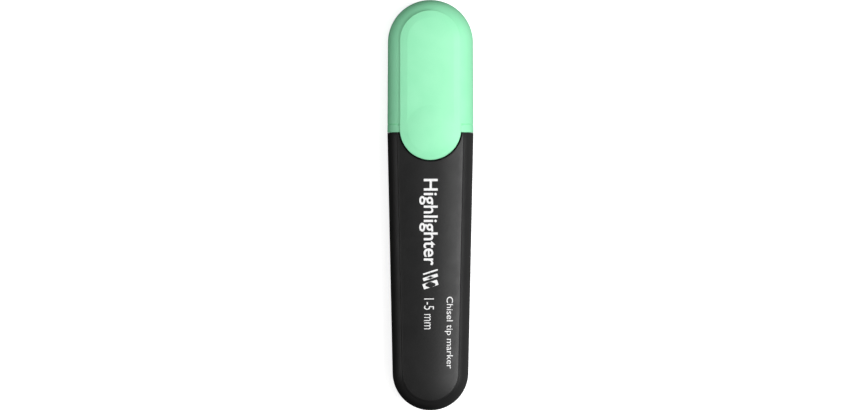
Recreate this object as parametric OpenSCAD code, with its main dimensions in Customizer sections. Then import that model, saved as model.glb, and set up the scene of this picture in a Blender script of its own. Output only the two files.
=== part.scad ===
// Flat highlighter pen with a pull-off cap, a short pocket clip and a chisel nib.
// X is the width, Y runs from the tail to the cap tip, Z rises through the front face.
// The origin is under the middle of the pen, on the plane of its flat back panel.

/* [Overall] */
// Length from the tail to the cap tip
total_len = 128.7; // [120:0.1:160]
// Length of the cap, from the seam to its tip
cap_len = 41.7; // [40:0.1:52]
// Width at the seam between the barrel and the cap
seam_w = 27; // [22.5:0.1:33]
// Width lost along the barrel, from the seam to the centre of the round tail
barrel_taper = 3.2; // [0.5:0.1:5]
// Width lost along the cap, from the seam to the centre of its round tip
cap_taper = 0.3; // [0:0.1:2]

/* [Shells] */
// Wall of the barrel
barrel_wall = 1.2; // [1:0.05:1.6]
// Wall of the cap
cap_wall = 1.3; // [1:0.05:1.6]
// Length of the neck that the cap slides over
neck_len = 10; // [7:0.5:12]
// Wall of the neck
neck_wall = 1.2; // [1:0.05:1.6]
// Gap all round between the neck and the cap
neck_gap = 0.15; // [0.13:0.01:0.3]
// Gap between the cap's rim and the barrel's shoulder
seam_gap = 0.12; // [0.05:0.01:0.3]
// Height of the snap rib round the neck
snap_h = 0.08; // [0.04:0.01:0.1]
// Width of the snap rib
snap_w = 0.8; // [0.5:0.1:1.5]
// Distance of the snap rib from the neck's end
snap_in = 2.5; // [1.5:0.1:4]
// Width of the rim lip that the shallow groove marks off
rim_lip = 2.5; // [1.5:0.1:4]
// Width and depth of the shallow groove above the rim lip
rim_groove = 0.3; // [0.2:0.05:0.5]

/* [Raised panels] */
// Radius of the crown across the front of the barrel and the cap
crown_r = 42; // [30:1:90]
// Margin of the barrel's front panel inside its outline
barrel_panel_margin = 3.25; // [2.5:0.05:4.5]
// Height of the barrel's front panel over the rounded body
barrel_panel_rise = 0.73; // [0.3:0.01:1]
// Width of the cap's front plate and of the clip that continues it
plate_w = 19.1; // [15.5:0.1:20]
// Margin between the plate's round top and the cap tip
plate_tip_margin = 3.45; // [3:0.05:5]
// Height of the cap's front plate over the rounded body
plate_rise = 1.13; // [0.9:0.01:1.5]
// Margin of the flat back panels inside the outline
back_margin = 4; // [3:0.1:5]
// Height of the flat back panels under the rounded body
back_rise = 0.13; // [0.05:0.01:0.5]

/* [Clip] */
// How far the clip reaches past the seam
clip_reach = 8.55; // [6:0.05:12]
// Thickness of the clip
clip_t = 1.8; // [1.5:0.05:2.2]
// Gap round the clip, in its pocket and its slits
clip_side_gap = 0.3; // [0.2:0.05:0.5]
// Gap between the clip's underside and the pocket floor
clip_lift_gap = 0.7; // [0.5:0.05:1]
// Wall under the pocket
pocket_wall = 1.1; // [0.9:0.05:1.4]
// Gap between the clip's root and the cap's plate
root_gap = 0.25; // [0.2:0.01:0.4]
// Radius of the round bead that the clip rocks on
bead_r = 0.55; // [0.4:0.01:0.6]
// Length of the bead
bead_len = 8; // [6:0.5:10]
// How far the bead lies under the middle of the clip's thickness
bead_drop = 0.24; // [0.1:0.01:0.3]
// Running clearance round the bead
bead_gap = 0.08; // [0.05:0.01:0.1]
// Diameter of the thumb dome
dome_d = 15.2; // [12:0.1:16]
// Height of the thumb dome over the plate
dome_rise = 0.5; // [0.2:0.05:0.8]
// How far the dome's edge sinks into the crowned plate
dome_sink = 0.08; // [0:0.02:0.2]

/* [Ink and nib] */
// Diameter of the ink reservoir's fibre core
core_d = 8.6; // [7:0.1:11]
// Thickness of the film sleeve round the core
sleeve_t = 0.2; // [0.1:0.05:0.3]
// Length of the reservoir, from the shoulder back
reservoir_len = 75; // [55:0.5:80]
// Width of the chisel nib
nib_w = 5; // [4:0.1:6]
// Thickness of the chisel nib
nib_t = 3; // [2.5:0.1:4]
// Length of the tube that holds the reservoir's back end
seat_len = 6; // [4:0.5:10]
// Wall of that tube, and the step that the reservoir stops on
seat_wall = 1; // [0.8:0.1:1.4]
// How far the nib stands out of the nose
nib_out = 6.5; // [5:0.1:8]
// How far the nib pierces the reservoir
nib_in = 6; // [4:0.5:8]
// Height of the nib's slanted cut
nib_slant = 3; // [1:0.1:4]

/* [Front section] */
// Length of the plug inside the neck
plug_len = 8; // [6:0.5:9]
// Thickness of the flange on the neck's end
flange_t = 1.2; // [0.8:0.1:2]
// Length of the shoulder that turns the oval into the round collar
shoulder_len = 3.8; // [3:0.1:5]
// Length of the round sealing collar
collar_len = 4.5; // [3:0.1:6]
// Wall of the plug at its thinnest, over the reservoir
plug_wall = 0.64; // [0.5:0.01:1.2]
// Length of the cone nose
nose_len = 8; // [6:0.1:9]
// Wall of the nose's end outside the nib's corners
nose_wall = 1.2; // [0.8:0.1:1.5]

/* [Inner cap] */
// Wall of the round inner cap that seals on the collar
inner_wall = 0.9; // [0.7:0.05:1.1]
// Running clearance between the inner cap and the collar
seal_gap = 0.05; // [0.02:0.01:0.1]
// Gap between the inner cap and the cap's front and back walls
nest_gap = 0.12; // [0.08:0.01:0.3]
// Gap between the inner cap's mouth and the front section's shoulder
mouth_gap = 0.5; // [0.3:0.1:1.5]
// Wall of the socket ring that holds the inner cap
socket_wall = 1.3; // [1:0.1:2]
// Length of the socket ring
socket_len = 4; // [3:0.5:6]

/* [Fits] */
// Gap of the parts that are pushed or bonded together
fit_gap = 0.04; // [0.02:0.01:0.08]
// Clearance round and behind the reservoir in its seat
seat_gap = 0.15; // [0.1:0.01:0.3]

/* [Hidden] */
hull_fn = 48;
round_fn = 96;
crown_fn = 180;
slice = 0.01;
cut_over = 1;
black = "#2b2b2b";
mint = "#9ff3c3";

// The thickness follows from what lies over the reservoir in the neck, and the inner cap fits in it
sleeve_d = core_d + 2 * sleeve_t;
neck_inset = cap_wall + neck_gap;
bore_inset = neck_inset + neck_wall;
body_r = sleeve_d / 2 + plug_wall + 2 * fit_gap + bore_inset;
body_z = body_r + back_rise;
inner_od = 2 * (body_r - cap_wall - nest_gap);
inner_d = inner_od - 2 * inner_wall;
collar_d = inner_d - 2 * seal_gap;

// Places along the pen
tip_end_y = total_len / 2;
tail_end_y = -total_len / 2;
seam_y = tip_end_y - cap_len;
rim_y = seam_y + seam_gap;
tail_half = (seam_w - barrel_taper) / 2;
tip_half = (seam_w - cap_taper) / 2;
tail_y = tail_end_y + tail_half;
tip_y = tip_end_y - tip_half;
neck_end_y = seam_y + neck_len;

// Plate and clip
plate_half = plate_w / 2;
plate_top_y = tip_end_y - plate_tip_margin - plate_half;
clip_arc_y = seam_y - clip_reach + plate_half;
root_y = seam_y + rim_lip;
plate_crest = body_z + body_r + plate_rise;
panel_crest = body_z + body_r + barrel_panel_rise;
clip_under = plate_crest - clip_t;
pocket_floor = clip_under - clip_lift_gap;
bead_y = root_y + root_gap + bead_r - bead_gap;
bead_z = plate_crest - clip_t / 2 - bead_drop;
web_t = bead_r;
notch_r = clip_side_gap;
dome_r = dome_d / 2;
dome_edge = plate_crest - dome_sink;
dome_h = dome_rise + dome_sink;
dome_ball_r = (dome_r * dome_r + dome_h * dome_h) / (2 * dome_h);

// Ink and nib
flange_y = neck_end_y;
shoulder_y = flange_y + flange_t;
collar_y = shoulder_y + shoulder_len;
nose_y = collar_y + collar_len;
nose_end_y = nose_y + nose_len;
nib_tip_y = nose_end_y + nib_out;
core_front_y = shoulder_y;
core_back_y = core_front_y - reservoir_len;
nib_back_y = core_front_y - nib_in;
seat_r = sleeve_d / 2 + seat_gap;
nose_end_d = norm([nib_w, nib_t]) + 2 * nose_wall;

// Inner cap
inner_mouth_y = collar_y + mouth_gap;
inner_dome_y = tip_y + tip_half - body_r;
socket_y = inner_dome_y - socket_len / 2;

function barrel_half(y) = tail_half + (seam_w / 2 - tail_half) * (y - tail_y) / (seam_y - tail_y);
function cap_half(y) = tip_half + (seam_w / 2 - tip_half) * (tip_y - y) / (tip_y - seam_y);

// A slab of an XZ outline, from y onwards
module along_y(y, len) {
    translate([0, y + len, body_z]) rotate([90, 0, 0]) linear_extrude(height = len) children();
}

// The oval outline across the pen: a flat middle and two round edges
module oval(half_w, half_t, fn = round_fn) {
    for (side = [-1, 1]) translate([side * (half_w - half_t), 0]) circle(r = half_t, $fn = fn);
    square([2 * (half_w - half_t), 2 * half_t], center = true);
}

// A round bar along Y, centred in the pen's thickness
module round_bar(r, y, len) {
    translate([0, y, body_z]) rotate([-90, 0, 0]) cylinder(r = r, h = len, $fn = round_fn);
}

// A pen body from a round end to an open oval end, set in by a wall
module body_form(end_y, end_half, open_y, open_half, inset) {
    hull() {
        translate([0, end_y, body_z])
            rotate_extrude($fn = hull_fn) intersection() {
                translate([end_half - body_r, 0]) circle(r = body_r - inset, $fn = hull_fn);
                translate([0, -body_r]) square(2 * (end_half + body_r));
            }
        along_y(open_y > end_y ? open_y - slice : open_y, slice)
            oval(open_half - inset, body_r - inset, hull_fn);
    }
}

module barrel_form(inset, open_y = seam_y) {
    body_form(tail_y, tail_half, open_y, barrel_half(open_y), inset);
}

module cap_form(inset, open_y = rim_y) {
    body_form(tip_y, tip_half, open_y, cap_half(open_y), inset);
}

// Everything under the front crown whose highest line is at crest: a bar with ball ends
module under_crown(crest) {
    translate([0, tail_y, crest - crown_r]) {
        rotate([-90, 0, 0]) cylinder(r = crown_r, h = plate_top_y - tail_y, $fn = crown_fn);
        for (y = [0, plate_top_y - tail_y]) translate([0, y, 0]) sphere(r = crown_r, $fn = crown_fn);
    }
}

// Outline of the cap's plate and the clip below it, grown by a gap
module plate_outline(grow = 0) {
    for (y = [plate_top_y, clip_arc_y]) translate([0, y]) circle(r = plate_half + grow, $fn = round_fn);
    translate([-plate_half - grow, clip_arc_y]) square([plate_w + 2 * grow, plate_top_y - clip_arc_y]);
}

// Outline of a barrel panel, set in from the barrel's own outline
module barrel_outline(margin) {
    end_w = tail_half - margin;
    seam_half = seam_w / 2 - margin;
    translate([0, tail_y]) circle(r = end_w, $fn = round_fn);
    polygon([[-end_w, tail_y], [end_w, tail_y], [seam_half, seam_y], [-seam_half, seam_y]]);
}

// Outline of the cap's flat back panel
module cap_back_outline() {
    end_w = tip_half - back_margin;
    seam_half = seam_w / 2 - back_margin;
    translate([0, tip_y]) circle(r = end_w, $fn = round_fn);
    polygon([[-seam_half, seam_y], [seam_half, seam_y], [end_w, tip_y], [-end_w, tip_y]]);
}

// The low spherical dome that the thumb presses
module thumb_dome() {
    intersection() {
        translate([0, clip_arc_y, clip_under])
            cylinder(r = dome_r, h = clip_t + 2 * dome_rise, $fn = round_fn);
        translate([0, clip_arc_y, dome_edge + dome_h - dome_ball_r]) sphere(r = dome_ball_r, $fn = crown_fn);
    }
}

// A block from the tail to y, or from y to the tip, to keep one side of a line across the pen
module tail_side(y) {
    translate([-seam_w, -total_len, 0]) cube([2 * seam_w, total_len + y, 4 * body_r]);
}

module tip_side(y) {
    translate([-seam_w, y, 0]) cube([2 * seam_w, total_len, 4 * body_r]);
}

// Rounded tube that holds the back of the reservoir, moulded in one with the barrel
module reservoir_seat() {
    difference() {
        intersection() {
            round_bar(seat_r + seat_wall, tail_end_y, core_back_y + seat_len - tail_end_y);
            barrel_form(barrel_wall / 2);
        }
        round_bar(seat_r, core_back_y - seat_gap, seat_len + cut_over + seat_gap);
        round_bar(seat_r - seat_wall, tail_end_y + barrel_wall, core_back_y - tail_end_y);
    }
}

module barrel_shell() {
    barrel_form(0);
    intersection() {
        translate([0, 0, body_z]) linear_extrude(height = 2 * body_r) barrel_outline(barrel_panel_margin);
        under_crown(panel_crest);
    }
    linear_extrude(height = body_z) barrel_outline(back_margin);
}

// The room over a crowned floor that the clip needs, from its round end to end_y
module clip_room(floor_crest, end_y) {
    difference() {
        linear_extrude(height = 4 * body_r) plate_outline(clip_side_gap);
        under_crown(floor_crest);
        tip_side(end_y);
    }
}

module neck() {
    snap_y = neck_end_y - snap_in;
    difference() {
        union() {
            hull() {
                along_y(seam_y - slice, slice)
                    oval(cap_half(seam_y) - neck_inset, body_r - neck_inset, hull_fn);
                along_y(neck_end_y - slice, slice)
                    oval(cap_half(neck_end_y) - neck_inset, body_r - neck_inset, hull_fn);
            }
            along_y(snap_y, snap_w)
                oval(cap_half(snap_y) - neck_inset + snap_h, body_r - neck_inset + snap_h);
        }
        clip_room(clip_under - clip_side_gap, root_y + root_gap);
    }
}

module barrel() {
    color(black) {
        difference() {
            union() {
                barrel_shell();
                neck();
            }
            difference() {
                barrel_form(barrel_wall, seam_y - barrel_wall);
                difference() {
                    linear_extrude(height = 4 * body_r) plate_outline(clip_side_gap + pocket_wall);
                    under_crown(pocket_floor - pocket_wall);
                }
            }
            along_y(seam_y - 2 * barrel_wall, neck_len + 3 * barrel_wall)
                oval(cap_half(neck_end_y) - bore_inset, body_r - bore_inset);
            clip_room(pocket_floor, seam_y);
        }
        reservoir_seat();
    }
}

module front_section() {
    plug_half = cap_half(neck_end_y) - bore_inset - fit_gap;
    plug_r = body_r - bore_inset - fit_gap;
    color("#f2f2ee") difference() {
        union() {
            along_y(flange_y - plug_len, plug_len + flange_t) oval(plug_half, plug_r);
            along_y(flange_y, flange_t)
                oval(cap_half(shoulder_y) - neck_inset, body_r - neck_inset);
            hull() {
                along_y(shoulder_y - slice, slice) oval(plug_half, plug_r, hull_fn);
                translate([0, collar_y, body_z]) rotate([90, 0, 0])
                    cylinder(d = collar_d, h = slice, $fn = hull_fn);
            }
            round_bar(collar_d / 2, collar_y - slice, collar_len + slice);
            translate([0, nose_y, body_z]) rotate([-90, 0, 0])
                cylinder(d1 = collar_d, d2 = nose_end_d, h = nose_len, $fn = round_fn);
        }
        round_bar(
            sleeve_d / 2 + fit_gap, flange_y - plug_len - cut_over, plug_len + cut_over + flange_t + fit_gap
        );
        along_y(flange_y, nose_end_y - flange_y + cut_over)
            square([nib_w + 2 * fit_gap, nib_t + 2 * fit_gap], center = true);
    }
}

module nib() {
    color(mint) translate([0, 0, body_z - nib_t / 2]) linear_extrude(height = nib_t)
        polygon([
            [-nib_w / 2, nib_back_y], [nib_w / 2, nib_back_y],
            [nib_w / 2, nib_tip_y - nib_slant], [-nib_w / 2, nib_tip_y]
        ]);
}

module reservoir_core() {
    color("#8fe8b4") round_bar(core_d / 2, core_back_y, reservoir_len);
}

module reservoir_sleeve() {
    color("#dfe6e2") difference() {
        round_bar(sleeve_d / 2, core_back_y, reservoir_len);
        round_bar(core_d / 2, core_back_y - cut_over, reservoir_len + 2 * cut_over);
    }
}

// The ring inside the cap's tip that grips the inner cap
module inner_socket() {
    difference() {
        intersection() {
            round_bar(inner_od / 2 + socket_wall, socket_y, socket_len);
            cap_form(cap_wall / 2);
        }
        round_bar(inner_od / 2 + fit_gap, socket_y - cut_over, socket_len + 2 * cut_over);
    }
}

module clip_channel() {
    half = bead_len / 2 + bead_gap;
    mouth = web_t / 2 + 2 * bead_gap;
    translate([-half, bead_y, bead_z]) rotate([0, 90, 0])
        cylinder(r = bead_r + bead_gap, h = 2 * half, $fn = round_fn);
    translate([-half, root_y, bead_z - mouth]) cube([2 * half, bead_y - root_y, 2 * mouth]);
}

module rim_groove_cut() {
    difference() {
        along_y(root_y, rim_groove) oval(seam_w, 2 * body_r);
        along_y(root_y - cut_over, rim_groove + 2 * cut_over)
            oval(cap_half(root_y) - rim_groove, body_r - rim_groove);
        translate([-plate_half - clip_side_gap, 0, -body_r])
            cube([plate_w + 2 * clip_side_gap, total_len, 6 * body_r]);
    }
}

module cap() {
    color(mint) {
        difference() {
            union() {
                cap_form(0);
                intersection() {
                    translate([0, 0, body_z]) linear_extrude(height = 2 * body_r) plate_outline();
                    under_crown(plate_crest);
                    tip_side(root_y + root_gap);
                }
                intersection() {
                    thumb_dome();
                    tip_side(root_y + root_gap);
                }
                linear_extrude(height = body_z) intersection() {
                    cap_back_outline();
                    translate([-seam_w, rim_y]) square([2 * seam_w, total_len]);
                }
            }
            cap_form(cap_wall, rim_y - cut_over);
            intersection() {
                translate([0, 0, body_z]) linear_extrude(height = 4 * body_r) plate_outline(clip_side_gap);
                tail_side(root_y + root_gap);
            }
            for (side = [-1, 1])
                translate([side * (plate_half + clip_side_gap / 2), root_y + root_gap, body_z])
                    cylinder(r = notch_r, h = 2 * body_r, $fn = round_fn);
            clip_channel();
            rim_groove_cut();
        }
        inner_socket();
    }
}

module clip() {
    color(mint) {
        intersection() {
            difference() {
                union() {
                    intersection() {
                        linear_extrude(height = 4 * body_r) plate_outline();
                        under_crown(plate_crest);
                    }
                    thumb_dome();
                }
                under_crown(clip_under);
            }
            tail_side(root_y);
        }
        translate([-bead_len / 2, bead_y, bead_z]) rotate([0, 90, 0])
            cylinder(r = bead_r, h = bead_len, $fn = round_fn);
        translate([-bead_len / 2, root_y - cut_over, bead_z - web_t / 2])
            cube([bead_len, bead_y - root_y + cut_over, web_t]);
    }
}

module inner_cap() {
    color("#e9f5ee") difference() {
        union() {
            round_bar(inner_od / 2, inner_mouth_y, inner_dome_y - inner_mouth_y);
            translate([0, inner_dome_y, body_z]) sphere(d = inner_od, $fn = round_fn);
        }
        round_bar(inner_d / 2, inner_mouth_y - cut_over, inner_dome_y - inner_mouth_y + cut_over);
        translate([0, inner_dome_y, body_z]) sphere(d = inner_d, $fn = round_fn);
    }
}

barrel();
front_section();
nib();
reservoir_core();
reservoir_sleeve();
cap();
clip();
inner_cap();
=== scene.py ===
# %% [markdown]
# # A flat highlighter with a pull-off cap
#
# The pen is a black moulded barrel and a mint cap whose front plate runs on as a short pocket clip.
# Under the cap there is a nib holder with a chisel nib. Every piece is modelled as by hand: a
# primitive is added, shaped in edit mode with extrude, spin, bridge and bevel, and finished with
# modifiers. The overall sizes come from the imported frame, which is loaded first and never changed.

# %% Load the frame
import math

import bmesh
import bpy
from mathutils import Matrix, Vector


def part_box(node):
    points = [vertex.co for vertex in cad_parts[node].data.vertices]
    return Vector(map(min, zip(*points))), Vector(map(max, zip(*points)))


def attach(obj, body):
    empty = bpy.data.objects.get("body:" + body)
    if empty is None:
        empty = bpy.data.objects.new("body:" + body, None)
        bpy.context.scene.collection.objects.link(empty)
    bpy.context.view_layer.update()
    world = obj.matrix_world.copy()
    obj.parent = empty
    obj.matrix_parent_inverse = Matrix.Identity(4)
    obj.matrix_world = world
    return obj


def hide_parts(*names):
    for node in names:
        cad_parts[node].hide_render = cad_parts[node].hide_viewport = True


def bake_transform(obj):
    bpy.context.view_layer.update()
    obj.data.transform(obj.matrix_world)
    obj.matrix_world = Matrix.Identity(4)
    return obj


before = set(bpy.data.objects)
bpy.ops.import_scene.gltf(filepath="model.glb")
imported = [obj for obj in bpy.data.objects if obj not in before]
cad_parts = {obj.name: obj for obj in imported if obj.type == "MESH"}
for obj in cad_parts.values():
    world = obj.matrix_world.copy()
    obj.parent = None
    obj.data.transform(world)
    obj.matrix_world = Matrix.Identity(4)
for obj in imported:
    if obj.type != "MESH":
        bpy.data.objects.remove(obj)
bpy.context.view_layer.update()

print("frame nodes:", ", ".join(sorted(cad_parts)))

# %% [markdown]
# ## Places along the pen
#
# X is the width, Y runs from the tail to the cap tip and Z rises through the front face. The
# overall places are read from the frame's boxes. Only sizes that no box gives, such as walls and
# edge radii, are written here, in millimetres.

# %% Places read from the frame
MM = 0.001
barrel_lo, barrel_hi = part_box("barrel")
_, cap_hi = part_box("cap")
clip_lo, clip_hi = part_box("clip")
inner_lo, inner_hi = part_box("inner_cap")
section_lo, section_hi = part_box("front_section")
nib_lo, nib_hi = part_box("nib")

TAIL_END = barrel_lo.y
TIP_END = cap_hi.y
NECK_END = barrel_hi.y
MID_Z = (inner_lo.z + inner_hi.z) / 2
SEAM_HALF = barrel_hi.x
PANEL_CREST = barrel_hi.z
PLATE_HALF = clip_hi.x
CLIP_END = clip_lo.y
DOME_CREST = clip_hi.z
NECK_LEN = 10 * MM
SEAM_GAP = 0.12 * MM
SEAM_Y = NECK_END - NECK_LEN
RIM_Y = SEAM_Y + SEAM_GAP
print(f"pen {1000 * (TIP_END - TAIL_END):.1f} mm long, seam at {1000 * SEAM_Y:.1f} mm")

# %% Sizes that no box gives
BODY_R = 7.87 * MM
BARREL_TAPER = 1.6 * MM
CAP_TAPER = 0.15 * MM
TAIL_HALF = SEAM_HALF - BARREL_TAPER
TIP_HALF = SEAM_HALF - CAP_TAPER
TAIL_Y = TAIL_END + TAIL_HALF
TIP_Y = TIP_END - TIP_HALF
BARREL_WALL = 1.2 * MM
CAP_WALL = 1.3 * MM
NECK_INSET = 1.45 * MM
BORE_INSET = 2.65 * MM
CROWN_R = 42 * MM
PANEL_MARGIN = 3.1 * MM
BACK_MARGIN = 4 * MM
DOME_RISE = 0.5 * MM
PLATE_CREST = DOME_CREST - DOME_RISE
PLATE_TIP_MARGIN = 3.45 * MM
PLATE_TOP_Y = TIP_END - PLATE_TIP_MARGIN - PLATE_HALF
CLIP_ARC_Y = CLIP_END + PLATE_HALF
CLIP_T = 1.8 * MM
RIM_LIP = 2.5 * MM
ROOT_Y = SEAM_Y + RIM_LIP
POCKET_GAP = 0.5 * MM
POCKET_DEPTH = 2.5 * MM
POCKET_FLOOR = PLATE_CREST - POCKET_DEPTH

# How far a cutter runs past what it cuts, and how close two vertices are when they merge
OVERCUT = MM
WELD = 0.001 * MM

# %% [markdown]
# ## Helpers for modelling by hand
#
# An operator acts on everything that is selected, so the helpers clear the selection first and
# then pick vertices by their place. `trace` shrinks a small plane to one vertex and extrudes it
# from point to point, which draws an outline the way a person would with a pen tool.

# %% Selection and profile helpers
def clear_selection():
    if bpy.context.object and bpy.context.object.mode != "OBJECT":
        bpy.ops.object.mode_set(mode="OBJECT")
    bpy.ops.object.select_all(action="DESELECT")


def focus(obj):
    clear_selection()
    obj.select_set(True)
    bpy.context.view_layer.objects.active = obj


def pick(test):
    """Select exactly the vertices of the edited mesh whose place passes the test."""
    mesh = bpy.context.edit_object.data
    bpy.ops.mesh.select_mode(type="VERT")
    bpy.ops.mesh.select_all(action="DESELECT")
    shape = bmesh.from_edit_mesh(mesh)
    for vert in shape.verts:
        vert.select_set(test(vert.co))
    shape.select_flush(True)
    bmesh.update_edit_mesh(mesh)


def name_object(name):
    obj = bpy.context.object
    obj.name = name
    obj.data.name = name
    return obj


def trace(name, places):
    """A chain of edges through the places, left in edit mode with all of it selected."""
    clear_selection()
    places = [Vector(place) for place in places]
    bpy.ops.mesh.primitive_plane_add(size=MM, location=places[0])
    obj = name_object(name)
    bpy.ops.object.transform_apply(location=True, rotation=True, scale=True)
    bpy.ops.object.mode_set(mode="EDIT")
    bpy.ops.mesh.select_all(action="SELECT")
    bpy.ops.mesh.merge(type="CENTER")
    for start, end in zip(places, places[1:]):
        bpy.ops.mesh.extrude_vertices_move(TRANSFORM_OT_translate={"value": end - start})
    bpy.ops.mesh.select_all(action="SELECT")
    return obj


def across(points, y):
    """Places in the plane across the pen at y, from (x, z) points."""
    return [(x, y, z) for x, z in points]


def arc(centre, radius, start, end, steps):
    """Points on an arc in the XZ plane, with angles in degrees from +X towards +Z."""
    angles = [math.radians(start + (end - start) * i / steps) for i in range(steps + 1)]
    return [(centre[0] + radius * math.cos(a), centre[1] + radius * math.sin(a)) for a in angles]


def round_corner(before, corner, after, radius, steps=4):
    """The points that replace a sharp corner by a tangent arc."""
    b, c, a = Vector(before), Vector(corner), Vector(after)
    u, v = (b - c).normalized(), (a - c).normalized()
    half = u.angle(v) / 2
    reach = min(radius / math.tan(half), (b - c).length / 2, (a - c).length / 2)
    radius = reach * math.tan(half)
    centre = c + (u + v).normalized() * radius / math.sin(half)
    first, last = c + u * reach - centre, c + v * reach - centre
    turn = first.angle_signed(last)
    points = []
    for i in range(steps + 1):
        a = -turn * i / steps
        x = first.x * math.cos(a) - first.y * math.sin(a)
        z = first.x * math.sin(a) + first.y * math.cos(a)
        points.append((centre.x + x, centre.y + z))
    return points


def tidy_mesh():
    """Merge doubles and turn every face outwards."""
    bpy.ops.mesh.select_all(action="SELECT")
    bpy.ops.mesh.remove_doubles(threshold=WELD)
    bpy.ops.mesh.normals_make_consistent(inside=False)


def cut(target, cutter, operation="DIFFERENCE"):
    """Combine two closed meshes and delete the second."""
    focus(target)
    modifier = target.modifiers.new("cut", "BOOLEAN")
    modifier.operation = operation
    modifier.solver = "EXACT"
    modifier.object = cutter
    bpy.ops.object.modifier_apply(modifier=modifier.name)
    bpy.data.objects.remove(cutter)


def finish_mesh(obj):
    """Shade smooth, and keep the edges sharper than 30 degrees crisp."""
    focus(obj)
    bpy.ops.object.shade_smooth_by_angle(angle=math.radians(30))
    print(f"{obj.name}: {len(obj.data.polygons)} faces")


# %% [markdown]
# ## The body form
#
# Both mouldings are one oval in section with a round end in plan. So half of the section is drawn
# once, spun half a turn about the end's centre, and its open edge is extruded along the pen to the
# seam, where the two halves are moved apart for the taper. Spinning keeps the band between the
# raised panel and the edge the same width all the way round.

# %% The section and the spun body
SPIN_STEPS = 48
OVAL_STEPS = 64


def side_arc(end_half, inset, top_x, bottom_x, steps=28):
    """The round side of the section, from where it is top_x out to where it is bottom_x out."""
    centre_x, radius = end_half - BODY_R, BODY_R - inset
    start = math.degrees(math.acos((top_x - centre_x) / radius))
    end = -math.degrees(math.acos((bottom_x - centre_x) / radius))
    return arc((centre_x, MID_Z), radius, start, end, steps)


def plain_section(end_half, inset):
    """Half of a plain oval section, from the top of the pen to the bottom."""
    centre_x, radius = max(end_half - BODY_R, 0), BODY_R - inset
    side = arc((centre_x, MID_Z), radius, 90, -90, 32)
    return [(0, MID_Z + radius)] + side + [(0, MID_Z - radius)]


def crown(crest, half, steps):
    """The gentle crown across the front, from the middle out to half."""
    span = math.degrees(math.asin(half / CROWN_R))
    return arc((0, crest - CROWN_R), CROWN_R, 90, 90 - span, steps)


def spun_body(name, section, end_y, open_y, widen, stations=()):
    """A closed body from a round end at end_y to a flat end at open_y, wider there by widen a side.

    Each station is a place along the pen and how far the surface is set in there.
    """
    toward = 1 if open_y > end_y else -1
    body = trace(name, across(section, end_y))
    bpy.ops.mesh.spin(steps=SPIN_STEPS, angle=math.pi, center=(0, end_y, 0), axis=(0, 0, toward))
    bpy.ops.mesh.select_all(action="SELECT")
    bpy.ops.mesh.remove_doubles(threshold=WELD)
    pick(lambda co: abs(co.y - end_y) < WELD)
    last_y, last_shift, last_depth = end_y, 0, 1
    for y, inset in stations or [(open_y, 0)]:
        bpy.ops.mesh.extrude_region_move(TRANSFORM_OT_translate={"value": (0, y - last_y, 0)})
        shift = widen * (y - end_y) / (open_y - end_y) - inset
        depth = 1 - inset / BODY_R
        for side in (1, -1):
            pick(lambda co: abs(co.y - y) < WELD and side * co.x > WELD)
            bpy.ops.transform.translate(value=(side * (shift - last_shift), 0, 0))
        pick(lambda co: abs(co.y - y) < WELD)
        bpy.ops.transform.resize(value=(1, 1, depth / last_depth), center_override=(0, y, MID_Z))
        last_y, last_shift, last_depth = y, shift, depth
    bpy.ops.mesh.edge_face_add()
    tidy_mesh()
    bpy.ops.object.mode_set(mode="OBJECT")
    return body


def oval_bar(name, half_w, half_t, y, length):
    """A closed bar with the plain oval section."""
    clear_selection()
    bpy.ops.mesh.primitive_circle_add(
        vertices=OVAL_STEPS, radius=half_t, location=(0, y, MID_Z), rotation=(math.pi / 2, 0, 0)
    )
    bar = name_object(name)
    bpy.ops.object.transform_apply(location=True, rotation=True, scale=True)
    bpy.ops.object.mode_set(mode="EDIT")
    for side in (1, -1):
        pick(lambda co: side * co.x > WELD)
        bpy.ops.transform.translate(value=(side * (half_w - half_t), 0, 0))
    bpy.ops.mesh.select_all(action="SELECT")
    bpy.ops.mesh.edge_face_add()
    bpy.ops.mesh.extrude_region_move(TRANSFORM_OT_translate={"value": (0, length, 0)})
    tidy_mesh()
    bpy.ops.object.mode_set(mode="OBJECT")
    return bar


# %% [markdown]
# ## Barrel
#
# A black injection moulding. Its front face is a raised panel with a small round along its edge,
# and near the seam a pocket is sunk into the panel so that the cap's clip can lie flush. The back
# has a flat panel that the pen rests on. The hollow inside is cut out with the same body form.

# %% Barrel section with the raised panels
PANEL_ROUND = 0.55 * MM
FOOT_ROUND = 0.12 * MM
PANEL_DRAFT = 0.03 * MM
PANEL_ROLL = 0.7 * MM
FOOT_REACH = 0.3 * MM
BACK_DRAFT = 0.1 * MM
BACK_REACH = 0.35 * MM


def back_edge(end_half, back_half, side_end):
    """The points from the end of the round side down on to the flat back panel."""
    foot = side_arc(end_half, 0, back_half + BACK_DRAFT, back_half + BACK_DRAFT, 2)[-1]
    edge = (back_half, 0)
    points = round_corner(side_end, foot, edge, FOOT_ROUND, 3)
    points += round_corner(foot, edge, (0, 0), FOOT_ROUND, 4)
    return points + [(0, 0)]


def paneled_section(end_half, crest, half, roll, back_half):
    """Half of the section with a raised, crowned front panel and a flat raised back panel."""
    front = crown(crest, half - roll, 10)
    edge = (half, crest - half * half / (2 * CROWN_R))
    foot_x = half + PANEL_DRAFT
    foot = side_arc(end_half, 0, foot_x, foot_x, 2)[0]
    side = side_arc(end_half, 0, foot_x + FOOT_REACH, back_half + BACK_REACH)
    points = front[:-1]
    points += round_corner(front[-1], edge, foot, PANEL_ROUND, 5)
    points += round_corner(edge, foot, side[0], FOOT_ROUND, 3)
    return points + side + back_edge(end_half, back_half, side[-1])


barrel_section = paneled_section(
    TAIL_HALF, PANEL_CREST, TAIL_HALF - PANEL_MARGIN, PANEL_ROLL, TAIL_HALF - BACK_MARGIN
)
print(f"barrel section: {len(barrel_section)} points")

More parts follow.
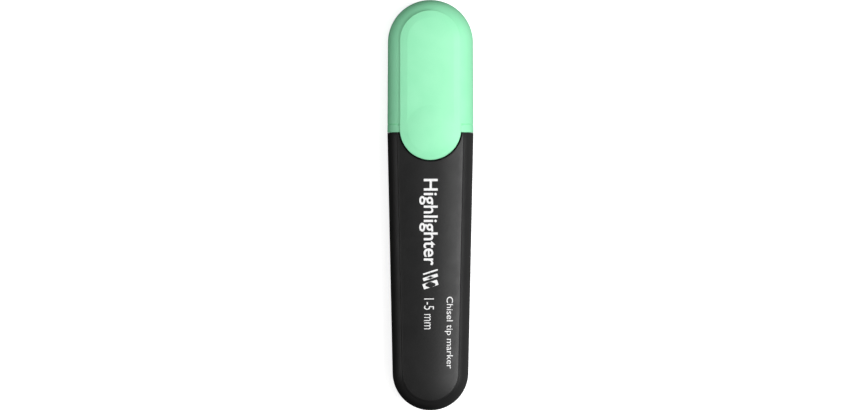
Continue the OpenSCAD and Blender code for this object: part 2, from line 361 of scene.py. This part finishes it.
# %% Barrel shell with its neck, bore and pocket
SEAM_ROUND = 0.1 * MM
NECK_ROOT = 3 * MM
HOLLOW_SHORT = 1.5 * MM
POCKET_RUN = 4 * MM
BARREL_ROWS = [y * MM for y in range(-40, 21, 10)]


def rounded_end(y, inward):
    """Stations that round a flat end off, where the barrel and the cap meet."""
    angles = [math.radians(30 * i) for i in range(4)]
    return [
        (y + inward * SEAM_ROUND * (1 - math.sin(a)), SEAM_ROUND * (1 - math.cos(a))) for a in angles
    ]


def make_barrel():
    taper = SEAM_HALF - TAIL_HALF
    stations = [(y, 0) for y in BARREL_ROWS] + rounded_end(SEAM_Y, -1)
    barrel = spun_body("barrel_shell", barrel_section, TAIL_Y, SEAM_Y, taper, stations)
    neck = oval_bar(
        "neck", SEAM_HALF - NECK_INSET, BODY_R - NECK_INSET,
        SEAM_Y - NECK_ROOT, NECK_END - SEAM_Y + NECK_ROOT,
    )
    cut(barrel, neck, "UNION")
    hollow_end = CLIP_END - HOLLOW_SHORT
    hollow_taper = taper * (hollow_end - TAIL_Y) / (SEAM_Y - TAIL_Y)
    hollow = spun_body(
        "hollow", plain_section(TAIL_HALF, BARREL_WALL), TAIL_Y, hollow_end, hollow_taper
    )
    cut(barrel, hollow)
    bore = oval_bar(
        "bore", SEAM_HALF - BORE_INSET, BODY_R - BORE_INSET,
        hollow_end - OVERCUT, NECK_END - hollow_end + 2 * OVERCUT,
    )
    cut(barrel, bore)
    cut(barrel, make_pocket_cutter())
    finish_mesh(barrel)
    return barrel


def make_pocket_cutter():
    """The clip's outline, grown by the gap, from the pocket floor up through the panel."""
    half = PLATE_HALF + POCKET_GAP
    floor = crown(POCKET_FLOOR, half, 12)
    section = [(0, PLATE_CREST + OVERCUT), (half, PLATE_CREST + OVERCUT)] + floor[::-1]
    cutter = trace("pocket_cutter", across(section, CLIP_ARC_Y))
    bpy.ops.mesh.spin(steps=SPIN_STEPS, angle=math.pi, center=(0, CLIP_ARC_Y, 0), axis=(0, 0, 1))
    bpy.ops.mesh.select_all(action="SELECT")
    bpy.ops.mesh.remove_doubles(threshold=WELD)
    pick(lambda co: abs(co.y - CLIP_ARC_Y) < WELD)
    bpy.ops.mesh.extrude_region_move(TRANSFORM_OT_translate={"value": (0, POCKET_RUN, 0)})
    bpy.ops.mesh.edge_face_add()
    tidy_mesh()
    bpy.ops.object.mode_set(mode="OBJECT")
    return cutter


barrel_shell = make_barrel()

# %% [markdown]
# ## Cap
#
# The cap repeats the barrel's form the other way round. A shallow groove marks off its rim lip,
# and the front of the rim is open between two narrow slits, where the clip passes through it.

# %% Cap shell
LIP_GROOVE = 0.16 * MM
GROOVE_HALF = 0.15 * MM
GROOVE_FLOOR_HALF = 0.08 * MM
SLIT_GAP = 0.03 * MM
SLOT_OVERRUN = 0.6 * MM
SLOT_HEIGHT = 8 * MM
NOTCH_R = 0.25 * MM
NOTCH_OUT = 0.4 * MM
NOTCH_RAISE = 1.3 * MM


def make_cap():
    back_half = TIP_HALF - BACK_MARGIN
    side = side_arc(TIP_HALF, 0, TIP_HALF - BODY_R, back_half + BACK_REACH, 40)
    section = [(0, MID_Z + BODY_R)] + side + back_edge(TIP_HALF, back_half, side[-1])
    groove = ROOT_Y + GROOVE_HALF
    stations = [
        (groove + GROOVE_HALF, 0), (groove + GROOVE_FLOOR_HALF, LIP_GROOVE),
        (groove - GROOVE_FLOOR_HALF, LIP_GROOVE), (groove - GROOVE_HALF, 0),
    ] + rounded_end(RIM_Y, 1)
    cap = spun_body("cap_shell", section, TIP_Y, RIM_Y, SEAM_HALF - TIP_HALF, stations)
    hollow = spun_body(
        "hollow", plain_section(TIP_HALF, CAP_WALL), TIP_Y, RIM_Y - OVERCUT, SEAM_HALF - TIP_HALF
    )
    cut(cap, hollow)
    cut(cap, make_slot_cutter())
    finish_mesh(cap)
    return cap


def make_slot_cutter():
    """The opening in the rim's front that the clip passes through, with a round end to each slit."""
    half = PLATE_HALF + SLIT_GAP
    clear_selection()
    bpy.ops.mesh.primitive_cube_add(size=1, location=(0, (RIM_Y + ROOT_Y) / 2, PLATE_CREST))
    cutter = name_object("slot_cutter")
    cutter.scale = (2 * half, ROOT_Y - RIM_Y + SLOT_OVERRUN, SLOT_HEIGHT)
    bpy.ops.object.transform_apply(location=True, rotation=True, scale=True)
    for side in (1, -1):
        clear_selection()
        bpy.ops.mesh.primitive_cylinder_add(
            vertices=24, radius=NOTCH_R, depth=SLOT_HEIGHT,
            location=(side * (PLATE_HALF + NOTCH_OUT), ROOT_Y, PLATE_CREST + NOTCH_RAISE),
        )
        cut(cutter, bpy.context.object, "UNION")
    return cutter


cap_shell = make_cap()

# %% [markdown]
# ## Front plate, clip and thumb dome
#
# On the real cap these are one skin: the raised plate runs past the rim as the clip, and a low
# dome gives the thumb a place to press. The plate's long edges roll off gently. The section is
# spun at both ends, and the dome is pulled up with proportional editing, whose inverse square
# falloff gives a shallow dome that is nearly part of a ball.

# %% Plate with its clip
PLATE_ROLL = 2.3 * MM
PLATE_ROLL_DROP = 0.25 * MM
ROLL_ROUND = 3 * MM
EDGE_ROUND = 0.25 * MM
UNDER_ROUND = 0.2 * MM
UNDER_INSET = 0.15 * MM
UNDER_DROP = 0.05 * MM
ROW_STEP = 0.4 * MM
DOME_RUN = 8 * MM
DOME_R = 7.6 * MM
SKIN_DEPTH = 0.1 * MM


def make_plate():
    flat_half = PLATE_HALF - PLATE_ROLL
    top = crown(PLATE_CREST, flat_half, 24)
    crown_drop = PLATE_HALF * PLATE_HALF / (2 * CROWN_R)
    edge = (PLATE_HALF, PLATE_CREST - crown_drop - PLATE_ROLL_DROP)
    under = crown(PLATE_CREST - CLIP_T, PLATE_HALF - UNDER_INSET, 8)[::-1]
    lower = (PLATE_HALF, under[0][1] - UNDER_DROP)
    section = top[:-1] + round_corner(top[-2], top[-1], edge, ROLL_ROUND, 6)
    section += round_corner(top[-1], edge, lower, EDGE_ROUND, 4)
    section += round_corner(edge, lower, under[1], UNDER_ROUND, 3) + under[1:]
    plate = trace("cap_plate", across(section, CLIP_ARC_Y))
    bpy.ops.mesh.spin(steps=SPIN_STEPS, angle=math.pi, center=(0, CLIP_ARC_Y, 0), axis=(0, 0, 1))
    bpy.ops.mesh.select_all(action="SELECT")
    bpy.ops.mesh.remove_doubles(threshold=WELD)
    dome_rows = int(DOME_RUN / ROW_STEP)
    pick(lambda co: abs(co.y - CLIP_ARC_Y) < WELD)
    for _ in range(dome_rows):
        bpy.ops.mesh.extrude_region_move(TRANSFORM_OT_translate={"value": (0, ROW_STEP, 0)})
    rest = PLATE_TOP_Y - CLIP_ARC_Y - dome_rows * ROW_STEP
    bpy.ops.mesh.extrude_region_move(TRANSFORM_OT_translate={"value": (0, rest, 0)})
    pick(lambda co: abs(co.y - PLATE_TOP_Y) < WELD and co.x > -WELD)
    bpy.ops.mesh.spin(steps=SPIN_STEPS, angle=math.pi, center=(0, PLATE_TOP_Y, 0), axis=(0, 0, -1))
    tidy_mesh()
    raise_dome()
    bpy.ops.object.mode_set(mode="OBJECT")
    finish_mesh(plate)
    return plate


def raise_dome():
    """Pull up the middle vertex of the plate's top skin, and let its neighbours follow."""
    crest_z = PLATE_CREST - SKIN_DEPTH
    pick(lambda co: abs(co.x) < WELD and abs(co.y - CLIP_ARC_Y) < WELD and co.z > crest_z)
    bpy.ops.transform.translate(
        value=(0, 0, DOME_CREST - PLATE_CREST), use_proportional_edit=True,
        use_proportional_connected=True, proportional_edit_falloff="INVERSE_SQUARE",
        proportional_size=DOME_R,
    )


cap_plate = make_plate()

# %% [markdown]
# ## Nib holder
#
# It shows only when the cap is off. One loop is carried forward along the pen: an oval plug in the
# neck, a flange on the neck's end, a shoulder that is bridged from oval to round, a collar with a
# seal bead, and a cone round the nib. Extruding one loop keeps the whole holder one closed skin.

# %% Nib holder
FIT_GAP = 0.04 * MM
FLANGE_T = 1.2 * MM
SHOULDER_LEN = 3.8 * MM
COLLAR_INSET = 0.95 * MM
SEAL_BEAD = 0.04 * MM
NOSE_LEN = 8 * MM
NOSE_WALL = 1.2 * MM
NIB_SLOT_GAP = 0.1 * MM


def grow(distance, scale_x=1, scale_z=1):
    """Extrude the selected end along the pen, then scale the new end about the pen's axis."""
    bpy.ops.mesh.extrude_region_move(TRANSFORM_OT_translate={"value": (0, distance, 0)})
    if scale_x != 1 or scale_z != 1:
        shape = bmesh.from_edit_mesh(bpy.context.edit_object.data)
        y = max(v.co.y for v in shape.verts if v.select)
        bpy.ops.transform.resize(value=(scale_x, 1, scale_z), center_override=(0, y, MID_Z))


def soften_edges(obj, width, angle=40, segments=3):
    """Round every edge sharper than the angle."""
    focus(obj)
    modifier = obj.modifiers.new("soften", "BEVEL")
    modifier.width = width
    modifier.segments = segments
    modifier.limit_method = "ANGLE"
    modifier.angle_limit = math.radians(angle)
    bpy.ops.object.modifier_apply(modifier=modifier.name)


def make_section():
    plug_half, plug_r = SEAM_HALF - BORE_INSET - FIT_GAP, BODY_R - BORE_INSET - FIT_GAP
    flange_half, flange_r = SEAM_HALF - NECK_INSET, BODY_R - NECK_INSET
    collar_r = (inner_hi.x - inner_lo.x) / 2 - COLLAR_INSET
    nose_r = math.hypot(nib_hi.x, (nib_hi.z - nib_lo.z) / 2) + NOSE_WALL
    holder = oval_bar("nib_holder", plug_half, plug_r, section_lo.y, NECK_END - section_lo.y)
    bpy.ops.object.mode_set(mode="EDIT")
    pick(lambda co: abs(co.y - NECK_END) < WELD)
    grow(0, flange_half / plug_half, flange_r / plug_r)
    grow(FLANGE_T)
    grow(0, plug_half / flange_half, plug_r / flange_r)
    bpy.ops.mesh.delete(type="FACE")
    shoulder_y = NECK_END + FLANGE_T
    collar_y = shoulder_y + SHOULDER_LEN
    bpy.ops.mesh.primitive_circle_add(
        vertices=OVAL_STEPS, radius=collar_r, location=(0, collar_y, MID_Z), rotation=(math.pi / 2, 0, 0)
    )
    bpy.ops.mesh.select_mode(type="EDGE")
    bpy.ops.mesh.select_non_manifold(
        extend=False, use_wire=True, use_boundary=True, use_multi_face=False, use_non_contiguous=False
    )
    bpy.ops.mesh.bridge_edge_loops(number_cuts=6)
    pick(lambda co: abs(co.y - collar_y) < WELD)
    bpy.ops.mesh.edge_face_add()
    collar_len = section_hi.y - NOSE_LEN - collar_y
    bead = SEAL_BEAD / collar_r
    bead_len = 0.08 * collar_len
    grow(0.4 * collar_len)
    grow(bead_len, 1 + bead, 1 + bead)
    grow(bead_len)
    grow(bead_len, 1 / (1 + bead), 1 / (1 + bead))
    grow(0.36 * collar_len)
    grow(NOSE_LEN, nose_r / collar_r, nose_r / collar_r)
    tidy_mesh()
    bpy.ops.object.mode_set(mode="OBJECT")
    soften_edges(holder, 0.2 * MM)
    clear_selection()
    bpy.ops.mesh.primitive_cube_add(size=1, location=(0, section_hi.y - NOSE_LEN, MID_Z))
    slot = name_object("nib_slot")
    slot_len = 2.4 * NOSE_LEN
    slot.scale = (nib_hi.x - nib_lo.x + NIB_SLOT_GAP, slot_len, nib_hi.z - nib_lo.z + NIB_SLOT_GAP)
    bpy.ops.object.transform_apply(location=True, rotation=True, scale=True)
    cut(holder, slot)
    finish_mesh(holder)
    return holder


nib_holder = make_section()

# %% [markdown]
# ## Nib
#
# A bar of bonded fibre, cut at a slant so that it draws a broad or a thin line, and eased on both
# faces. It starts as a box at the CAD nib's size. Bisecting it makes the cuts, as a blade does.

# %% Nib
NIB_SLANT = 3 * MM
NIB_EASE = 1.5 * MM
NIB_LEAN = 0.32


def make_nib():
    centre, size = (nib_lo + nib_hi) / 2, nib_hi - nib_lo
    clear_selection()
    bpy.ops.mesh.primitive_cube_add(size=1, location=centre)
    nib = name_object("chisel_nib")
    nib.scale = size
    bpy.ops.object.transform_apply(location=True, rotation=True, scale=True)
    bpy.ops.object.mode_set(mode="EDIT")
    cuts = [((nib_lo.x, nib_hi.y, MID_Z), (NIB_SLANT, size.x, 0))]
    ease_y = nib_hi.y - NIB_SLANT - NIB_EASE
    cuts += [((0, ease_y, MID_Z + side * size.z / 2), (0, NIB_LEAN, side)) for side in (1, -1)]
    for place, normal in cuts:
        bpy.ops.mesh.select_all(action="SELECT")
        bpy.ops.mesh.bisect(
            plane_co=place, plane_no=Vector(normal).normalized(), use_fill=True, clear_outer=True
        )
    tidy_mesh()
    bpy.ops.object.mode_set(mode="OBJECT")
    soften_edges(nib, 0.35 * MM, 20, 4)
    finish_mesh(nib)
    return nib


chisel_nib = make_nib()

# %% [markdown]
# ## Inner cap
#
# A thin waxy liner inside the cap, round so that it can seal on the collar. It is turned from one
# outline, as on a lathe: out along the outside, over the dome, and back down the bore.

# %% Inner cap
LINER_WALL = 0.9 * MM
DOME_STEPS, LIP_STEPS = 16, 8


def make_inner_cap():
    outer_r = (inner_hi.x - inner_lo.x) / 2
    inner_r = outer_r - LINER_WALL
    mouth, dome_y = inner_lo.y, inner_hi.y - outer_r
    lip = LINER_WALL / 2
    turn = [math.radians(90 - 90 * i / DOME_STEPS) for i in range(DOME_STEPS + 1)]
    outside = [(outer_r * math.sin(a), dome_y + outer_r * math.cos(a)) for a in turn]
    bore = [(inner_r * math.sin(a), dome_y + inner_r * math.cos(a)) for a in turn[::-1]]
    round_lip = [
        (inner_r + lip + lip * math.cos(a), mouth + lip - lip * math.sin(a))
        for a in [math.pi - math.pi * i / LIP_STEPS for i in range(LIP_STEPS + 1)]
    ]
    outline = [(inner_r, dome_y - MM)] + round_lip + outside + bore + [(inner_r, dome_y - MM)]
    liner = trace("seal_liner", [(r, y, MID_Z) for r, y in outline])
    bpy.ops.mesh.spin(steps=72, angle=2 * math.pi, center=(0, 0, MID_Z), axis=(0, 1, 0))
    tidy_mesh()
    bpy.ops.mesh.delete_loose(use_verts=True, use_edges=True)
    bpy.ops.object.mode_set(mode="OBJECT")
    finish_mesh(liner)
    return liner


seal_liner = make_inner_cap()

# %% [markdown]
# ## Print on the barrel
#
# The front panel carries white pad print. Only plain words and a line-width sign are printed here.
# Each mark is set flat, made a mesh, and dropped on to the crowned panel with a Shrinkwrap, then
# given the thickness of a layer of ink.

# %% Printed marks
INK_T = 0.02 * MM
CAPITAL_SHARE = 0.7
BASELINE_X = -2 * MM
SECOND_START = -28.4 * MM
BAR_LEN, BAR_GAP, BAR_ROUND = 4.8 * MM, 0.9 * MM, 0.2 * MM
BAR_WIDTHS = (0.5 * MM, 1 * MM, 1.7 * MM)


def lay_on_panel(mark):
    """Project a flat mesh on to the panel and give it the thickness of ink."""
    focus(mark)
    bpy.ops.object.mode_set(mode="EDIT")
    bpy.ops.mesh.select_all(action="SELECT")
    bpy.ops.mesh.remove_doubles(threshold=WELD)
    bpy.ops.object.mode_set(mode="OBJECT")
    wrap = mark.modifiers.new("wrap", "SHRINKWRAP")
    wrap.wrap_method = "PROJECT"
    wrap.use_project_z = True
    wrap.use_negative_direction = True
    wrap.use_positive_direction = False
    wrap.target = barrel_shell
    wrap.offset = INK_T / 2
    bpy.ops.object.modifier_apply(modifier=wrap.name)
    skin = mark.modifiers.new("ink", "SOLIDIFY")
    skin.thickness = INK_T
    skin.offset = 1
    bpy.ops.object.modifier_apply(modifier=skin.name)
    finish_mesh(mark)


def print_word(name, body, height, baseline_x, start_y, length, weight):
    """A word that reads down the pen, with capitals of one height, fitted to a length."""
    clear_selection()
    bpy.ops.object.text_add(location=(0, 0, 0))
    word = bpy.context.object
    word.name = name
    word.data.body = body
    word.data.size = height / CAPITAL_SHARE
    word.data.offset = weight
    word.data.resolution_u = 6
    bpy.ops.object.convert(target="MESH")
    word = name_object(name)
    word.scale.x = length / word.dimensions.x
    word.rotation_euler.z = -math.pi / 2
    word.location = (baseline_x, start_y, PANEL_CREST + MM)
    bpy.ops.object.transform_apply(location=True, rotation=True, scale=True)
    lay_on_panel(word)
    return word


def print_width_sign(start_y):
    """Three bars, thin to broad, for the widths of line that the nib draws.

    A bar has vertices only along its outline, so the panel's crown hides parts of the broader two.
    """
    clear_selection()
    y = start_y
    bars = []
    for number, width in enumerate(BAR_WIDTHS):
        bpy.ops.mesh.primitive_plane_add(size=1, location=(0, y - width / 2, PANEL_CREST + MM))
        bar = name_object(f"width_bar_{number}")
        bar.scale = (BAR_LEN, width, 1)
        bar.rotation_euler.z = math.radians(18)
        bpy.ops.object.transform_apply(location=True, rotation=True, scale=True)
        bpy.ops.object.mode_set(mode="EDIT")
        bpy.ops.mesh.select_all(action="SELECT")
        bpy.ops.mesh.bevel(offset=BAR_ROUND, segments=4, affect="VERTICES")
        bpy.ops.object.mode_set(mode="OBJECT")
        lay_on_panel(bar)
        bars.append(bar)
        y -= width + BAR_GAP
    focus(bars[0])
    for bar in bars:
        bar.select_set(True)
    bpy.ops.object.join()
    return name_object("print_width_sign")


prints = [
    print_word(
        "print_word", "Highlighter", height=4.3 * MM, baseline_x=BASELINE_X, start_y=8.6 * MM,
        length=27 * MM, weight=0.08 * MM,
    ),
    print_width_sign(start_y=-20.6 * MM),
    print_word(
        "print_width", "1-5 mm", height=3.2 * MM, baseline_x=BASELINE_X, start_y=SECOND_START,
        length=9.6 * MM, weight=-0.03 * MM,
    ),
    print_word(
        "print_note", "Chisel tip marker", height=1.95 * MM, baseline_x=5.1 * MM,
        start_y=SECOND_START, length=22.4 * MM, weight=0,
    ),
]

# %% [markdown]
# ## Materials
#
# Every visible part of the pen is plastic, fibre or ink, so each material is a Principled shader
# with its own surface. Object coordinates are in metres on every piece, so a pattern's size is
# given in millimetres and turned into a scale. A uniform value sits straight on the shader.

# %% Node helpers
def linear(code):
    """A linear RGBA colour from an sRGB hex value."""
    parts = [int(code[i:i + 2], 16) / 255 for i in (1, 3, 5)]
    return [c / 12.92 if c <= 0.04045 else ((c + 0.055) / 1.055) ** 2.4 for c in parts] + [1]


def add(tree, kind, values=None, links=None, **settings):
    """Add a node with its settings, its input values and the outputs linked to its inputs."""
    node = tree.nodes.new("ShaderNode" + kind)
    for key, value in settings.items():
        setattr(node, key, value)
    for key, value in (values or {}).items():
        node.inputs[key].default_value = value
    for key, output in (links or {}).items():
        tree.links.new(output, node.inputs[key])
    return node


def new_material(name, **values):
    """A material with only a Principled shader, whose input names are given in lower case."""
    material = bpy.data.materials.new(name)
    material.use_nodes = True
    shader = material.node_tree.nodes["Principled BSDF"]
    for key, value in values.items():
        shader.inputs[key.replace("_", " ").title().replace("Ior", "IOR")].default_value = value
    material.diffuse_color = values["base_color"]
    return material, material.node_tree, shader


def grain(tree, size, detail=2, stretch=(1, 1, 1)):
    """Noise whose grains are about size metres across, on the object's own coordinates."""
    place = add(tree, "TexCoord")
    scale = [s / size for s in stretch]
    mapping = add(tree, "Mapping", {"Scale": scale}, {"Vector": place.outputs["Object"]})
    return add(
        tree, "TexNoise", {"Scale": 1, "Detail": detail, "Roughness": 0.5},
        {"Vector": mapping.outputs["Vector"]},
    )


def clouded(tree, shader, noise, dark, light):
    """Let the base colour drift between two close tones."""
    ramp = add(tree, "ValToRGB", links={"Fac": noise.outputs["Fac"]})
    ramp.color_ramp.elements[0].position = 0.35
    ramp.color_ramp.elements[0].color = linear(dark)
    ramp.color_ramp.elements[1].position = 0.65
    ramp.color_ramp.elements[1].color = linear(light)
    tree.links.new(ramp.outputs["Color"], shader.inputs["Base Color"])


def drifting_roughness(tree, shader, noise, low, high):
    """Let the roughness drift between two values."""
    span = add(
        tree, "MapRange", {"From Min": 0.3, "From Max": 0.7, "To Min": low, "To Max": high},
        {"Value": noise.outputs["Fac"]},
    )
    tree.links.new(span.outputs["Result"], shader.inputs["Roughness"])


def raised(tree, shader, noise, depth):
    """Bump of a real depth in metres."""
    bump = add(
        tree, "Bump", {"Strength": 1, "Distance": depth}, {"Height": noise.outputs["Fac"]}
    )
    tree.links.new(bump.outputs["Normal"], shader.inputs["Normal"])


# %% [markdown]
# ### The mouldings
#
# The barrel and the cap are injection moulded in a tool with a fine spark-eroded grain. That grain
# breaks up the gloss into a soft satin sheen. It is far below a tenth of a millimetre, so it is
# drawn coarser here, or it would vanish. Pigment never mixes perfectly, so the colour drifts a
# little over a few millimetres.

# %% Moulded plastics
def black_polypropylene():
    """Satin black polypropylene: deep black with a broad, soft highlight."""
    material, tree, shader = new_material(
        "black_polypropylene_satin_moulded", base_color=linear("#101010"), ior=1.49,
        specular_ior_level=0.48,
    )
    clouded(tree, shader, grain(tree, 7 * MM), "#0E0E0E", "#121212")
    drifting_roughness(tree, shader, grain(tree, 3 * MM), 0.40, 0.46)
    raised(tree, shader, grain(tree, 0.3 * MM), 0.004 * MM)
    return material


def mint_polypropylene():
    """Pastel mint polypropylene: milky and even, slightly glossier than the barrel."""
    material, tree, shader = new_material(
        "mint_polypropylene_satin_moulded", base_color=linear("#97ECBA"), ior=1.49,
        specular_ior_level=0.42,
    )
    clouded(tree, shader, grain(tree, 6 * MM), "#95EBB9", "#99EDBC")
    drifting_roughness(tree, shader, grain(tree, 3 * MM), 0.42, 0.48)
    raised(tree, shader, grain(tree, 0.3 * MM), 0.003 * MM)
    return material


def natural_polypropylene():
    """Uncoloured polypropylene for the nib holder: off-white and faintly see-through."""
    material, tree, shader = new_material(
        "natural_polypropylene_moulded", base_color=linear("#E6E6DF"), ior=1.49,
        subsurface_weight=0.15, subsurface_scale=0.6 * MM,
    )
    clouded(tree, shader, grain(tree, 4 * MM), "#E1E1DA", "#EAEAE4")
    drifting_roughness(tree, shader, grain(tree, 2 * MM), 0.32, 0.42)
    raised(tree, shader, grain(tree, 0.35 * MM), 0.004 * MM)
    return material


def waxy_polyethylene():
    """Soft polyethylene for the liner: white, waxy and matt."""
    material, tree, shader = new_material(
        "polyethylene_liner_waxy", base_color=linear("#EDEFEA"), ior=1.51,
        subsurface_weight=0.2, subsurface_scale=0.8 * MM,
    )
    clouded(tree, shader, grain(tree, 5 * MM), "#E8EBE5", "#F0F2EE")
    drifting_roughness(tree, shader, grain(tree, 2 * MM), 0.42, 0.52)
    return material


# %% [markdown]
# ### Fibre, film and ink
#
# The nib and the reservoir are polyester fibres that run along the pen, so their noise is drawn
# out along Y. The film round the reservoir is clear. Pad-printed ink lies as a thin white layer
# with small pinholes in its cover.

# %% Fibres, film and ink
def bonded_fibre():
    """Nib of bonded polyester fibre, soaked with mint ink: matt, with streaks along the pen."""
    material, tree, shader = new_material(
        "bonded_polyester_fibre_inked", base_color=linear("#6FD9A0"), ior=1.5,
        sheen_weight=0.25, sheen_roughness=0.5,
    )
    streaks = grain(tree, 0.25 * MM, 4, (1, 0.12, 1))
    clouded(tree, shader, streaks, "#5CCB90", "#86E6B3")
    drifting_roughness(tree, shader, grain(tree, MM), 0.72, 0.86)
    raised(tree, shader, streaks, 0.05 * MM)
    return material


def inked_wadding():
    """Loose polyester fibre of the reservoir, full of ink."""
    material, tree, shader = new_material(
        "polyester_wadding_inked", base_color=linear("#7FE0AC"), ior=1.5,
        sheen_weight=0.3, sheen_roughness=0.6,
    )
    strands = grain(tree, 0.4 * MM, 5, (1, 0.08, 1))
    clouded(tree, shader, strands, "#66CE98", "#97EBBE")
    drifting_roughness(tree, shader, grain(tree, MM), 0.8, 0.92)
    raised(tree, shader, strands, 0.12 * MM)
    return material


def clear_film():
    """Clear polypropylene film, rolled round the reservoir: glossy, with faint roll marks."""
    material, tree, shader = new_material(
        "clear_polypropylene_film", base_color=linear("#F2F8F5"), ior=1.49,
        transmission_weight=0.85,
    )
    drifting_roughness(tree, shader, grain(tree, MM, 2, (1, 0.1, 1)), 0.08, 0.18)
    raised(tree, shader, grain(tree, MM, 2, (1, 0.1, 1)), 0.01 * MM)
    return material


def pad_print_ink():
    """White pad-print ink: matt and nearly opaque, with fine pinholes."""
    material, tree, shader = new_material(
        "white_pad_print_ink", base_color=linear("#EFEFEF"), ior=1.5
    )
    pinholes = grain(tree, 0.22 * MM, 3)
    clouded(tree, shader, pinholes, "#DCDCDC", "#F6F6F6")
    drifting_roughness(tree, shader, pinholes, 0.5, 0.62)
    raised(tree, shader, pinholes, 0.003 * MM)
    return material


# %% Give every piece its material
def wear(obj, material):
    """Put one material on a piece, or on the object of a CAD node that stays."""
    if not obj.material_slots:
        obj.data.materials.append(material)
    for material_slot in obj.material_slots:
        material_slot.link = "OBJECT"
        material_slot.material = material
    print(f"{obj.name}: {material.name}")


mint = mint_polypropylene()
wear(barrel_shell, black_polypropylene())
wear(cap_shell, mint)
wear(cap_plate, mint)
wear(nib_holder, natural_polypropylene())
wear(chisel_nib, bonded_fibre())
wear(seal_liner, waxy_polyethylene())
wear(bpy.data.objects["reservoir_core"], inked_wadding())
wear(bpy.data.objects["reservoir_sleeve"], clear_film())
ink = pad_print_ink()
for mark in prints:
    wear(mark, ink)

# %% [markdown]
# ## What each piece rides on
#
# The barrel group stays still. The cap pulls off along the pen and takes its liner with it. On the
# real pen the plate's long part is fixed to the cap, and past the rim it is the clip, which flexes
# about its root. Here the plate's place is baked into its mesh, it rides on no body, and the CAD
# clip is hidden.

# %% Ride, replace and bake the plate
for piece, node, body, slot in (
    (barrel_shell, "barrel", "pen_barrel", "black_plastic"),
    (nib_holder, "front_section", "pen_barrel", "natural_plastic"),
    (chisel_nib, "nib", "pen_barrel", "nib_felt"),
    (cap_shell, "cap", "pen_cap", "mint_plastic"),
    (seal_liner, "inner_cap", "pen_cap", "soft_liner"),
):
    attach(piece, body)
    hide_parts(node)
for mark in prints:
    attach(mark, "pen_barrel")
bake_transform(cap_plate)
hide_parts("clip")

# %% [markdown]
# ## Floor, light and camera
#
# A white sweep lit as for a catalogue: a large soft light on the right, a broad one overhead and a
# weak one on the left that draws the left edges. The fill fades out below the horizon and the
# floor keeps out of reflections, so the black barrel's edges stay dark. The camera looks straight
# down from far off, so that the pen's sides don't spread with perspective.

# %% Floor
clear_selection()
FLOOR_SIZE = 4
FLOOR_DROP = 0.05 * MM
bpy.ops.mesh.primitive_plane_add(size=FLOOR_SIZE, location=(0, 0, -FLOOR_DROP))
floor = name_object("floor")
paper, tree, shader = new_material(
    "white_card_floor", base_color=linear("#F4F4F4"), roughness=0.9, emission_strength=0.6
)
shader.inputs["Emission Color"].default_value = linear("#FFFFFF")
wear(floor, paper)
floor.visible_glossy = False
floor.visible_diffuse = False

# %% Lights
FILL, RIGHT_FILL, LEFT_FILL = 0.23, 0.4, 0.02
FADE_FROM, FADE_TO = -0.4, 0.2
world = bpy.data.worlds.new("pale_world")
bpy.context.scene.world = world
world.use_nodes = True
sky = world.node_tree
heading = add(sky, "TexCoord")
split = add(sky, "SeparateXYZ", links={"Vector": heading.outputs["Generated"]})
low = add(
    sky, "MapRange", {"From Min": 0, "From Max": 1, "To Min": LEFT_FILL, "To Max": RIGHT_FILL},
    {"Value": split.outputs["X"]},
)
height = add(
    sky, "MapRange", {"From Min": FADE_FROM, "From Max": FADE_TO, "To Max": FILL},
    {"Value": split.outputs["Z"], "To Min": low.outputs["Result"]}, interpolation_type="SMOOTHSTEP",
)
sky.links.new(height.outputs["Result"], sky.nodes["Background"].inputs["Strength"])
sky.nodes["Background"].inputs["Color"].default_value = (1, 1, 1, 1)


def soft_light(name, toward, distance, width, length, power):
    """A softbox over the pen, out in one direction and facing the pen."""
    clear_selection()
    place = Vector(toward).normalized() * distance
    turn = place.to_track_quat("Z", "Y").to_euler()
    bpy.ops.object.light_add(type="AREA", location=place, rotation=turn)
    light = bpy.context.object
    light.name = name
    light.data.shape = "RECTANGLE"
    light.data.size = width
    light.data.size_y = length
    light.data.energy = power
    return light


soft_light("key_light", toward=(0.68, -0.12, 0.73), distance=1, width=0.45, length=1, power=9.5)
soft_light("rim_light", toward=(-0.9, 0, 0.44), distance=1, width=0.3, length=1, power=1.3)
top_light = soft_light("top_light", toward=(0, 0, 1), distance=1.2, width=1, length=1.4, power=5)
top_light.visible_glossy = False

# %% Camera
LENS, SENSOR = 200, 36
FRAME_WIDTH = 0.2697
AIM_X, AIM_Y = -0.14 * MM, 0.05 * MM
clear_selection()
distance = FRAME_WIDTH * LENS / SENSOR
bpy.ops.object.camera_add(location=(AIM_X, AIM_Y, distance + MID_Z), rotation=(0, 0, 0))
camera = bpy.context.object
camera.name = "camera"
camera.data.lens = LENS
camera.data.sensor_width = SENSOR
bpy.context.scene.camera = camera
bpy.context.scene.view_settings.view_transform = "Standard"
print(f"camera {distance:.2f} m above the pen")
